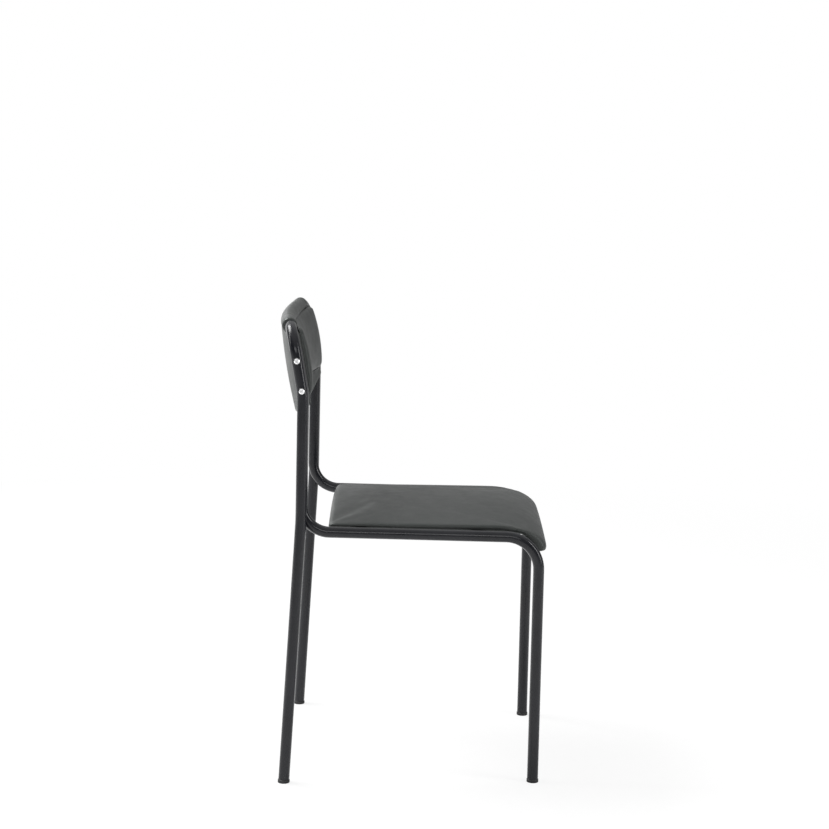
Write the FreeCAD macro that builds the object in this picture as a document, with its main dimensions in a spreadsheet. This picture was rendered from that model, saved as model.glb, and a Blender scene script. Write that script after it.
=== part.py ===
"""Stackable choir chair: two bent-tube front frames, a bent-tube rear hoop and two upholstered pads.

Millimetres, +Z up. The origin is on the floor under the middle of the chair, which faces -Y.
The backrest is modelled in its own leaning frame: X across, Y rearward, Z up along the back.
"""
import FreeCAD, Part
import math
import os

import Sketcher

Vector = FreeCAD.Vector
doc = FreeCAD.newDocument("ChoirChair")

# Driving dimensions
SIZES = {
    # Steel tube
    "tube_diameter": 20.0,
    "tube_wall": 1.5,
    "tube_gap": 0.2,
    # Front frames: leg, seat rail and inner upright in one tube
    "frame_spacing": 388.4,
    "front_foot_depth": -234.5,
    "front_leg_lean": 0.4,
    "rail_height": 456.5,
    "front_bend_radius": 60.0,
    "rear_bend_radius": 50.0,
    "upright_depth": 195.2,
    "back_bend_height": 705.0,
    "back_bend_radius": 150.0,
    "back_lean": 10.2,
    "upright_end": 82.0,
    # Rear hoop: both rear legs, the outer uprights and the top bar in one tube
    "rear_foot_spread": 461.6,
    "rear_foot_depth": 217.7,
    "knee_height": 482.0,
    "knee_radius": 500.0,
    "hoop_corner_radius": 50.0,
    "top_bar_height": 121.5,
    "top_bar_set_back": 25.5,
    "top_bar_radius": 1200.0,
    # Feet and tube caps
    "glide_rim_height": 6.0,
    "glide_rim_diameter": 21.6,
    "glide_edge_radius": 1.2,
    "spigot_length": 18.0,
    "spigot_clearance": 0.2,
    "cap_height": 3.0,
    "cap_spigot_length": 12.0,
    # Flat-oval cross bars under the seat
    "bar_width": 25.0,
    "bar_height": 10.0,
    "bar_wall": 1.5,
    "bar_above_rail_centre": 0.5,
    "front_bar_depth": -120.0,
    "rear_bar_depth": 90.0,
    # Seat
    "seat_width": 357.0,
    "seat_rear_depth": 150.0,
    "seat_front_depth": -246.5,
    "seat_board_thickness": 8.0,
    "seat_board_radius": 30.0,
    "seat_lip_height": 425.5,
    "seat_lip_curve_height": 430.0,
    "seat_front_foam": 4.8,
    "seat_edge_foam": 8.0,
    "seat_crown": 14.0,
    "seat_rear_drop": 4.0,
    "seat_waterfall_start": -171.5,
    "seat_waterfall_nose": 38.0,
    "seat_rear_radius": 10.0,
    "tuck_width": 20.0,
    "cloth_thickness": 0.8,
    # Vinyl
    "vinyl_thickness": 1.2,
    "layer_gap": 0.15,
    # Back panel
    "back_curve_radius": 625.0,
    "back_sagitta": 25.0,
    "back_board_thickness": 9.0,
    "back_board_offset": 7.5,
    "back_rim_offset": 8.0,
    "back_bottom": -56.0,
    "back_bottom_rise": 36.0,
    "back_side_clearance": 0.3,
    "cleat_width": 16.0,
    "cleat_depth": 12.0,
    "cleat_low": -6.0,
    "cleat_high": 82.0,
    # Front pad of the back
    "pad_half_width": 171.0,
    "pad_low": -5.0,
    "pad_high": 106.0,
    "pad_edge_depth": 13.0,
    "pad_crown": 2.5,
    "pad_bulge": 4.5,
    "pad_corner_radius": 16.0,
    "pad_tuck": 7.0,
    # Padded roll round the top bar
    "roll_radius": 14.5,
    "roll_corner_share": 0.55,
    # Fasteners
    "back_screw_diameter": 5.0,
    "back_screw_head": 10.0,
    "back_screw_low": 10.3,
    "back_screw_pitch": 54.0,
    "saddle_diameter": 13.0,
    "saddle_height": 1.5,
    "seat_screw_diameter": 6.0,
    "seat_screw_head": 12.0,
    "seat_screw_spacing": 240.0,
    "screw_clearance": 0.2,
    "insert_diameter": 7.0,
    "insert_length": 12.0,
    "nut_flange_diameter": 18.0,
    "nut_flange_thickness": 1.0,
    "nut_barrel_diameter": 8.0,
}

sheet = doc.addObject("Spreadsheet::Sheet", "Sizes")
for row, (alias, value) in enumerate(SIZES.items(), start=1):
    sheet.set("A%d" % row, alias)
    sheet.set("B%d" % row, str(value))
    sheet.setAlias("B%d" % row, alias)
doc.recompute()


def size(alias):
    return float(getattr(sheet, alias))


# Worked-out sizes that several pieces share
TUBE_RADIUS = size("tube_diameter") / 2
BORE_RADIUS = TUBE_RADIUS - size("tube_wall")
FRAME_X = size("frame_spacing") / 2
HOOP_X = FRAME_X + size("tube_diameter") + size("tube_gap")
LEAN = math.radians(size("back_lean"))
BACK_ORIGIN = Vector(0, size("upright_depth"), size("back_bend_height"))
BACK_PLACEMENT = FreeCAD.Placement(BACK_ORIGIN, FreeCAD.Rotation(Vector(1, 0, 0), -size("back_lean")))
BAR_TOP = size("rail_height") + size("bar_above_rail_centre")
BOARD_UNDER = BAR_TOP + size("vinyl_thickness") + size("layer_gap")
BOARD_TOP = BOARD_UNDER + size("seat_board_thickness")
SEAT_HALF = size("seat_width") / 2
BACK_HALF = FRAME_X - TUBE_RADIUS - size("back_side_clearance")
SCREW_LEVELS = [size("back_screw_low"), size("back_screw_low") + size("back_screw_pitch")]


def add_feature(name, shape, placement=None):
    """Keep a shape as its own named piece."""
    feature = doc.addObject("Part::Feature", name)
    feature.Label = name
    feature.Shape = shape
    if placement is not None:
        feature.Placement = placement
    return feature


def add_body(name):
    body = doc.addObject("PartDesign::Body", name)
    body.Label = name
    return body


def add_sketch(body, name, role):
    """Sketch on one of the body's own origin planes."""
    sketch = body.newObject("Sketcher::SketchObject", name)
    plane = [item for item in body.Origin.OriginFeatures if item.Role == role][0]
    sketch.AttachmentSupport = [(plane, "")]
    sketch.MapMode = "FlatFace"
    return sketch


def bind(sketch, index, expression):
    sketch.setExpression("Constraints[%d]" % index, expression)


def revolved_profile(body, name, points):
    """Closed profile of (radius, height, radius expression, height expression), turned about Z."""
    sketch = add_sketch(body, name + "_profile", "XZ_Plane")
    count = len(points)
    for i in range(count):
        start = Vector(points[i][0], points[i][1], 0)
        end = Vector(points[(i + 1) % count][0], points[(i + 1) % count][1], 0)
        sketch.addGeometry(Part.LineSegment(start, end), False)
    for i in range(count):
        sketch.addConstraint(Sketcher.Constraint("Coincident", i, 2, (i + 1) % count, 1))
    for i, (radius, height, radius_text, height_text) in enumerate(points):
        if radius_text == "0":
            sketch.addConstraint(Sketcher.Constraint("PointOnObject", i, 1, -2))
        else:
            index = sketch.addConstraint(Sketcher.Constraint("DistanceX", -1, 1, i, 1, radius))
            bind(sketch, index, radius_text)
        if height_text == "0":
            sketch.addConstraint(Sketcher.Constraint("PointOnObject", i, 1, -1))
        else:
            index = sketch.addConstraint(Sketcher.Constraint("DistanceY", -1, 1, i, 1, height))
            bind(sketch, index, height_text)
    turn = body.newObject("PartDesign::Revolution", name + "_turn")
    turn.Profile = sketch
    turn.ReferenceAxis = (sketch, ["V_Axis"])
    turn.Angle = 360
    body.Tip = turn
    return turn


def direction_placement(origin, direction):
    """Placement that turns +Z to the direction."""
    return FreeCAD.Placement(origin, FreeCAD.Rotation(Vector(0, 0, 1), direction))


# Bent tubes

def bent_path(points, radii):
    """Wire of straight runs through the points, with a tangent arc at each inner point."""
    edges = []
    start = points[0]
    for i in range(1, len(points) - 1):
        before = (points[i - 1] - points[i]).normalize()
        after = (points[i + 1] - points[i]).normalize()
        half_turn = (math.pi - before.getAngle(after)) / 2
        setback = radii[i - 1] * math.tan(half_turn)
        arc_start = points[i] + before * setback
        arc_end = points[i] + after * setback
        bisector = (before + after).normalize()
        rise = radii[i - 1] / math.cos(half_turn) - radii[i - 1]
        edges.append(Part.LineSegment(start, arc_start).toShape())
        edges.append(Part.Arc(arc_start, points[i] + bisector * rise, arc_end).toShape())
        start = arc_end
    edges.append(Part.LineSegment(start, points[-1]).toShape())
    return Part.Wire(edges)


def swept(path, radius):
    """Solid round bar along a path."""
    first = path.Edges[0]
    start = first.valueAt(first.FirstParameter)
    direction = first.tangentAt(first.FirstParameter)
    circle = Part.Wire([Part.Circle(start, direction, radius).toShape()])
    return path.makePipeShell([circle], True, False)


def along(point, direction, distance):
    return point + Vector(direction).normalize() * distance


def back_point(x, rearward, upward):
    return BACK_PLACEMENT.multVec(Vector(x, rearward, upward))


def hoop_points(side):
    """Foot, knee, back bend, top corner of one side of the hoop."""
    foot = Vector(side * size("rear_foot_spread") / 2, size("rear_foot_depth"), 0)
    knee = Vector(side * HOOP_X, size("upright_depth"), size("knee_height"))
    bend = Vector(side * HOOP_X, size("upright_depth"), size("back_bend_height"))
    corner = back_point(side * HOOP_X, 0, size("top_bar_height"))
    return [foot, knee, bend, corner]


def make_hoop():
    left = hoop_points(-1)
    right = hoop_points(1)
    left[0] = along(left[0], left[1] - left[0], size("glide_rim_height"))
    right[0] = along(right[0], right[1] - right[0], size("glide_rim_height"))
    top = back_point(0, size("top_bar_set_back"), size("top_bar_height"))
    bends = [size("knee_radius"), size("back_bend_radius"), size("hoop_corner_radius")]
    path = bent_path(left + [top] + right[::-1], bends + [size("top_bar_radius")] + bends[::-1])
    tube = swept(path, TUBE_RADIUS).cut(swept(path, BORE_RADIUS))
    drill_radius = size("back_screw_diameter") / 2 + size("screw_clearance")
    for side in (-1, 1):
        for level in SCREW_LEVELS:
            start = back_point(side * (HOOP_X - TUBE_RADIUS - 1), 0, level)
            drill = Part.makeCylinder(drill_radius, size("tube_diameter") + 2, start, Vector(side, 0, 0))
            tube = tube.cut(drill)
    return path, tube


hoop_path, hoop_tube = make_hoop()
add_feature("back_hoop", hoop_tube)


def make_front_frame(side, name):
    """One planar tube: front leg, seat rail, inner upright and its leaning end."""
    body = add_body(name)
    body.setExpression("Placement.Base.x", "Sizes.frame_spacing / 2 * %d" % side)
    spine = add_sketch(body, name + "_path", "YZ_Plane")
    front = size("front_foot_depth")
    rim = size("glide_rim_height")
    rail = size("rail_height")
    rear = size("upright_depth")
    bend = size("back_bend_height")
    lean_leg = math.radians(size("front_leg_lean"))
    corners = [
        Vector(front + rim * math.tan(lean_leg), rim, 0),
        Vector(front + rail * math.tan(lean_leg), rail, 0),
        Vector(rear, rail, 0),
        Vector(rear, bend, 0),
        Vector(rear + size("upright_end") * math.sin(LEAN), bend + size("upright_end") * math.cos(LEAN), 0),
    ]
    radii = [size("front_bend_radius"), size("rear_bend_radius"), size("back_bend_radius")]
    for edge in bent_path(corners, radii).Edges:
        if edge.Curve.TypeId == "Part::GeomLine":
            curve = Part.LineSegment(edge.Vertexes[0].Point, edge.Vertexes[-1].Point)
        else:
            middle = edge.valueAt((edge.FirstParameter + edge.LastParameter) / 2)
            curve = Part.Arc(edge.valueAt(edge.FirstParameter), middle, edge.valueAt(edge.LastParameter))
        spine.addGeometry(curve, False)
    ends = []
    for i in range(7):
        start, end = spine.getPoint(i, 1), spine.getPoint(i, 2)
        ends.append((start, end))
    for i in range(6):
        near = 2 if min((ends[i][1] - p).Length for p in ends[i + 1]) < 0.01 else 1
        meet = ends[i][near - 1]
        far = 1 if (ends[i + 1][0] - meet).Length < 0.01 else 2
        spine.addConstraint(Sketcher.Constraint("Tangent", i, near, i + 1, far))
    spine.addConstraint(Sketcher.Constraint("Horizontal", 2))
    spine.addConstraint(Sketcher.Constraint("Vertical", 4))
    datums = [
        (("DistanceX", -1, 1, 0, 1, corners[0].x), "Sizes.front_foot_depth"
         " + Sizes.glide_rim_height * tan(Sizes.front_leg_lean * 1 deg)"),
        (("DistanceY", -1, 1, 0, 1, corners[0].y), "Sizes.glide_rim_height"),
        (("Angle", 0, math.pi / 2 - lean_leg), "(90 - Sizes.front_leg_lean) * 1 deg"),
        (("DistanceY", -1, 1, 2, 1, rail), "Sizes.rail_height"),
        (("DistanceX", -1, 1, 4, 1, rear), "Sizes.upright_depth"),
        (("DistanceY", -1, 1, 4, 2, ends[4][1].y), "Sizes.back_bend_height"
         " - Sizes.back_bend_radius * tan(Sizes.back_lean * 0.5 deg)"),
        (("Angle", 6, math.pi / 2 - LEAN), "(90 - Sizes.back_lean) * 1 deg"),
        (("DistanceY", -1, 1, 6, 2, corners[4].y), "Sizes.back_bend_height"
         " + Sizes.upright_end * cos(Sizes.back_lean * 1 deg)"),
        (("Radius", 1, radii[0]), "Sizes.front_bend_radius"),
        (("Radius", 3, radii[1]), "Sizes.rear_bend_radius"),
        (("Radius", 5, radii[2]), "Sizes.back_bend_radius"),
    ]
    for datum, expression in datums:
        bind(spine, spine.addConstraint(Sketcher.Constraint(*datum)), expression)
    doc.recompute()
    section = body.newObject("Sketcher::SketchObject", name + "_section")
    section.AttachmentSupport = [(spine, "Edge1")]
    section.MapMode = "NormalToEdge"
    for radius in (TUBE_RADIUS, BORE_RADIUS):
        section.addGeometry(Part.Circle(Vector(0, 0, 0), Vector(0, 0, 1), radius), False)
    for i in range(2):
        section.addConstraint(Sketcher.Constraint("Coincident", i, 3, -1, 1))
    bind(section, section.addConstraint(Sketcher.Constraint("Radius", 0, TUBE_RADIUS)), "Sizes.tube_diameter / 2")
    bind(section, section.addConstraint(Sketcher.Constraint("Radius", 1, BORE_RADIUS)),
         "Sizes.tube_diameter / 2 - Sizes.tube_wall")
    tube = body.newObject("PartDesign::AdditivePipe", name + "_tube")
    tube.Profile = section
    tube.Spine = spine
    body.Tip = tube
    doc.recompute()
    drill = add_sketch(body, name + "_drilling", "YZ_Plane")
    for i, level in enumerate(("Sizes.back_screw_low", "(Sizes.back_screw_low + Sizes.back_screw_pitch)")):
        drill.addGeometry(Part.Circle(Vector(rear, bend + 60 * i, 0), Vector(0, 0, 1), 3), False)
        bind(drill, drill.addConstraint(Sketcher.Constraint("Radius", i, 3)),
             "Sizes.back_screw_diameter / 2 + Sizes.screw_clearance")
        bind(drill, drill.addConstraint(Sketcher.Constraint("DistanceX", -1, 1, i, 3, rear)),
             "Sizes.upright_depth + %s * sin(Sizes.back_lean * 1 deg)" % level)
        bind(drill, drill.addConstraint(Sketcher.Constraint("DistanceY", -1, 1, i, 3, bend)),
             "Sizes.back_bend_height + %s * cos(Sizes.back_lean * 1 deg)" % level)
    holes = body.newObject("PartDesign::Pocket", name + "_holes")
    holes.Profile = drill
    holes.Type = "Length"
    holes.Midplane = True
    holes.setExpression("Length", "Sizes.tube_diameter * 2")
    body.Tip = holes
    doc.recompute()
    if holes.Shape.Volume >= tube.Shape.Volume:
        raise ValueError("the screw holes cut nothing")
    return body


front_frames = [make_front_frame(-1, "front_frame_left"), make_front_frame(1, "front_frame_right")]


# Feet and tube caps

def make_glide(name, foot, direction):
    """Plastic glide: rim under the tube end and a spigot in its bore, cut level at the floor."""
    blank = add_body(name + "_blank")
    reach = -4
    revolved_profile(blank, name, [
        (0, reach, "0", "%d" % reach),
        (10.8, reach, "Sizes.glide_rim_diameter / 2", "%d" % reach),
        (10.8, 4.8, "Sizes.glide_rim_diameter / 2", "Sizes.glide_rim_height - Sizes.glide_edge_radius"),
        (9.6, 6, "Sizes.glide_rim_diameter / 2 - Sizes.glide_edge_radius", "Sizes.glide_rim_height"),
        (8.3, 6, "Sizes.tube_diameter / 2 - Sizes.tube_wall - Sizes.spigot_clearance", "Sizes.glide_rim_height"),
        (8.3, 24, "Sizes.tube_diameter / 2 - Sizes.tube_wall - Sizes.spigot_clearance",
         "Sizes.glide_rim_height + Sizes.spigot_length"),
        (0, 24, "0", "Sizes.glide_rim_height + Sizes.spigot_length"),
    ])
    blank.Placement = direction_placement(foot, direction)
    floor = doc.addObject("Part::Box", name + "_floor")
    floor.setExpression("Length", "Sizes.glide_rim_diameter * 3")
    floor.setExpression("Width", "Sizes.glide_rim_diameter * 3")
    floor.Height = 20
    half = size("glide_rim_diameter") * 1.5
    floor.Placement.Base = foot + Vector(-half, -half, -20)
    glide = doc.addObject("Part::Cut", name)
    glide.Label = name
    glide.Base = blank
    glide.Tool = floor
    return glide


FRONT_LEG = Vector(0, math.tan(math.radians(size("front_leg_lean"))), 1)
for side, word in ((-1, "left"), (1, "right")):
    make_glide("foot_glide_front_" + word, Vector(side * FRAME_X, size("front_foot_depth"), 0), FRONT_LEG)
    rear_foot, rear_knee = hoop_points(side)[:2]
    make_glide("foot_glide_rear_" + word, rear_foot, rear_knee - rear_foot)


def make_upright_cap(name, side):
    """Domed plug in the open top end of an inner upright."""
    cap = add_body(name)
    revolved_profile(cap, name, [
        (0, -12, "0", "-Sizes.cap_spigot_length"),
        (8.3, -12, "Sizes.tube_diameter / 2 - Sizes.tube_wall - Sizes.spigot_clearance", "-Sizes.cap_spigot_length"),
        (8.3, 0.1, "Sizes.tube_diameter / 2 - Sizes.tube_wall - Sizes.spigot_clearance", "Sizes.layer_gap"),
        (10, 0.1, "Sizes.tube_diameter / 2", "Sizes.layer_gap"),
        (10, 1.5, "Sizes.tube_diameter / 2", "Sizes.cap_height / 2"),
        (7, 3, "Sizes.tube_diameter / 2 * 0.7", "Sizes.cap_height"),
        (0, 3, "0", "Sizes.cap_height"),
    ])
    cap.Placement = direction_placement(
        back_point(side * FRAME_X, 0, size("upright_end")), back_point(0, 0, 1) - back_point(0, 0, 0))
    return cap


make_upright_cap("upright_cap_left", -1)
make_upright_cap("upright_cap_right", 1)


# Cross bars under the seat, coped to the rails

def make_cross_bar(name, depth_alias):
    bar = add_body(name + "_blank")
    section = add_sketch(bar, name + "_section", "YZ_Plane")
    centre_y = size(depth_alias)
    centre_z = BAR_TOP - size("bar_height") / 2
    walls = (("", 0.0), (" - 2 * Sizes.bar_wall", size("bar_wall")))
    for i, (reduction, inset) in enumerate(walls):
        half_width = size("bar_width") / 2 - inset
        half_height = size("bar_height") / 2 - inset
        left, right = centre_y - half_width, centre_y + half_width
        low, high = centre_z - half_height, centre_z + half_height
        corners = [Vector(left, low, 0), Vector(right, low, 0), Vector(right, high, 0), Vector(left, high, 0)]
        first = 4 * i
        for k in range(4):
            section.addGeometry(Part.LineSegment(corners[k], corners[(k + 1) % 4]), False)
        for k in range(4):
            section.addConstraint(Sketcher.Constraint("Coincident", first + k, 2, first + (k + 1) % 4, 1))
            section.addConstraint(Sketcher.Constraint("Horizontal" if k % 2 == 0 else "Vertical", first + k))
        bind(section, section.addConstraint(Sketcher.Constraint(
            "DistanceX", first, 1, first, 2, 2 * half_width)), "Sizes.bar_width" + reduction)
        bind(section, section.addConstraint(Sketcher.Constraint(
            "DistanceY", first + 1, 1, first + 1, 2, 2 * half_height)), "Sizes.bar_height" + reduction)
        bind(section, section.addConstraint(Sketcher.Constraint("DistanceX", -1, 1, first, 1, left)),
             "Sizes.%s - (Sizes.bar_width%s) / 2" % (depth_alias, reduction))
        bind(section, section.addConstraint(Sketcher.Constraint("DistanceY", -1, 1, first + 1, 2, high)),
             "Sizes.rail_height + Sizes.bar_above_rail_centre - Sizes.bar_height / 2"
             " + (Sizes.bar_height%s) / 2" % reduction)
    pad = bar.newObject("PartDesign::Pad", name + "_length")
    pad.Profile = section
    pad.Type = "Length"
    pad.Midplane = True
    pad.setExpression("Length", "Sizes.frame_spacing")
    drill = add_sketch(bar, name + "_drilling", "XY_Plane")
    for i, side in enumerate((-1, 1)):
        centre = Vector(side * size("seat_screw_spacing") / 2, centre_y, 0)
        drill.addGeometry(Part.Circle(centre, Vector(0, 0, 1), 3.2), False)
        bind(drill, drill.addConstraint(Sketcher.Constraint("Radius", i, 3.2)),
             "Sizes.seat_screw_diameter / 2 + Sizes.screw_clearance")
        bind(drill, drill.addConstraint(Sketcher.Constraint("DistanceX", -1, 1, i, 3, centre.x)),
             "Sizes.seat_screw_spacing / 2 * %d" % side)
        bind(drill, drill.addConstraint(Sketcher.Constraint("DistanceY", -1, 1, i, 3, centre.y)),
             "Sizes." + depth_alias)
    holes = bar.newObject("PartDesign::Pocket", name + "_holes")
    holes.Profile = drill
    holes.Type = "Length"
    holes.Midplane = True
    holes.setExpression("Length", "Sizes.rail_height * 3")
    bar.Tip = holes
    doc.recompute()
    if holes.Shape.Volume >= pad.Shape.Volume:
        raise ValueError("the seat screw holes cut nothing")
    rails = []
    for side, word in ((-1, "left"), (1, "right")):
        rail = doc.addObject("Part::Cylinder", name + "_cope_" + word)
        rail.setExpression("Radius", "Sizes.tube_diameter / 2")
        rail.setExpression("Height", "Sizes.bar_width * 3")
        base = Vector(side * FRAME_X, centre_y + 1.5 * size("bar_width"), size("rail_height"))
        rail.Placement = direction_placement(base, Vector(0, -1, 0))
        rails.append(rail)
    cope = doc.addObject("Part::Fuse", name + "_copes")
    cope.Base = rails[0]
    cope.Tool = rails[1]
    coped = doc.addObject("Part::Cut", name)
    coped.Label = name
    coped.Base = bar
    coped.Tool = cope
    return coped


make_cross_bar("seat_cross_bar_front", "front_bar_depth")
make_cross_bar("seat_cross_bar_rear", "rear_bar_depth")


# Seat

def arc_edge(start, middle, end):
    return Part.Arc(start, middle, end).toShape()


def line_edge(start, end):
    return Part.LineSegment(start, end).toShape()


def bulged_edge(start, end, bulge):
    """Arc from start to end that stands out by a bulge on the right-hand side, seen along +X."""
    chord = end - start
    outward = Vector(0, chord.z, -chord.y).normalize()
    return arc_edge(start, (start + end) * 0.5 + outward * bulge, end)


def corner_edge(start, end, corner):
    """Round corner that is tangent to the sides meeting at the corner point."""
    middle = (start + end) * 0.5
    return arc_edge(start, middle + (corner - middle) * (math.sqrt(2) - 1), end)


def seat_section(x, top, rear_top, corner, nose, front, rear, underside):
    """Section of the seat at one X: crowned top, waterfall front, lip and hollow underside."""
    under, under_radius, inner_front, lip, lip_radius = underside
    start_y = size("seat_waterfall_start")
    curve_z = size("seat_lip_curve_height")
    depth = start_y - front
    height = top - curve_z
    sweep = ((depth - nose) ** 2 + height ** 2 - nose ** 2) / (2 * (height - nose))
    nose_centre = Vector(x, front + nose, curve_z)
    sweep_centre = Vector(x, start_y, top - sweep)
    meeting = nose_centre + (nose_centre - sweep_centre).normalize() * nose
    nose_middle = nose_centre + ((meeting - nose_centre) + Vector(0, -nose, 0)).normalize() * nose
    sweep_middle = sweep_centre + ((meeting - sweep_centre) + Vector(0, 0, sweep)).normalize() * sweep
    top_rear = Vector(x, rear - corner, rear_top)
    top_front = Vector(x, start_y, top)
    rear_high = Vector(x, rear, rear_top - corner)
    rear_low = Vector(x, rear, under)
    front_high = Vector(x, front, curve_z)
    front_low = Vector(x, front, lip + lip_radius)
    lip_front = Vector(x, front + lip_radius, lip)
    lip_rear = Vector(x, inner_front - lip_radius, lip)
    inner_low = Vector(x, inner_front, lip + lip_radius)
    inner_high = Vector(x, inner_front, under - under_radius)
    under_front = Vector(x, inner_front + under_radius, under)
    return Part.Wire([
        line_edge(rear_low, rear_high),
        corner_edge(rear_high, top_rear, Vector(x, rear, rear_top)),
        bulged_edge(top_rear, top_front, (top - rear_top) / 4),
        arc_edge(top_front, sweep_middle, meeting),
        arc_edge(meeting, nose_middle, front_high),
        line_edge(front_high, front_low),
        corner_edge(front_low, lip_front, Vector(x, front, lip)),
        line_edge(lip_front, lip_rear),
        corner_edge(lip_rear, inner_low, Vector(x, inner_front, lip)),
        line_edge(inner_low, inner_high),
        corner_edge(inner_high, under_front, Vector(x, inner_front, under)),
        line_edge(under_front, rear_low),
    ])


def mirrored_stations(stations):
    """Stations from the left end to the right end, from those of one half, outermost first."""
    return [(-station[0],) + station[1:] for station in stations] + stations[-2::-1]


def hollow(outer, inner):
    """Skin between two nested envelopes."""
    cavity = inner.Shells[0].copy()
    cavity.reverse()
    return Part.makeSolid(Part.makeCompound([outer.Shells[0], cavity]))


# Stations across the seat: share of the half width, how far the top has come down, inset in plan
SEAT_STATIONS = [(1.0, 5.0, 6.0), (0.98, 2.0, 2.0), (0.93, 0.0, 0.0)]
CROWN_SHARES = [0.6, 0.3, 0.0]
FRONT_INSET_SHARE = 0.4
VINYL = size("vinyl_thickness")
GAP = size("layer_gap")


def seat_solid(skin, underside):
    """Seat envelope drawn in by a skin thickness, over the given underside."""
    half = SEAT_HALF - skin
    stations = list(SEAT_STATIONS)
    for share in CROWN_SHARES:
        stations.append((share, -size("seat_crown") * (1 - (share / SEAT_STATIONS[-1][0]) ** 2), 0.0))
    wires = []
    for share, drop, inset in mirrored_stations(stations):
        foam = size("seat_edge_foam") - drop
        top = BOARD_TOP + foam + VINYL - skin
        rear_drop = min(size("seat_rear_drop"), 0.4 * foam)
        corner = min(size("seat_rear_radius"), 0.5 * (foam - rear_drop) + VINYL) - skin
        front = size("seat_front_depth") + skin + inset * FRONT_INSET_SHARE
        rear = size("seat_rear_depth") - skin - inset
        nose = size("seat_waterfall_nose") - skin
        wires.append(seat_section(share * half, top, top - rear_drop, corner, nose, front, rear, underside))
    return Part.makeLoft(wires, True, True)


BOARD_OUTER_FRONT = size("seat_front_depth") + VINYL + size("seat_front_foam")
BOARD_INNER_FRONT = BOARD_OUTER_FRONT + size("seat_board_thickness")
BOARD_LIP = size("seat_lip_height") + VINYL + GAP


SEAT_SCREW_PLACES = [(side, alias) for alias in ("front_bar_depth", "rear_bar_depth") for side in (-1, 1)]


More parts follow.
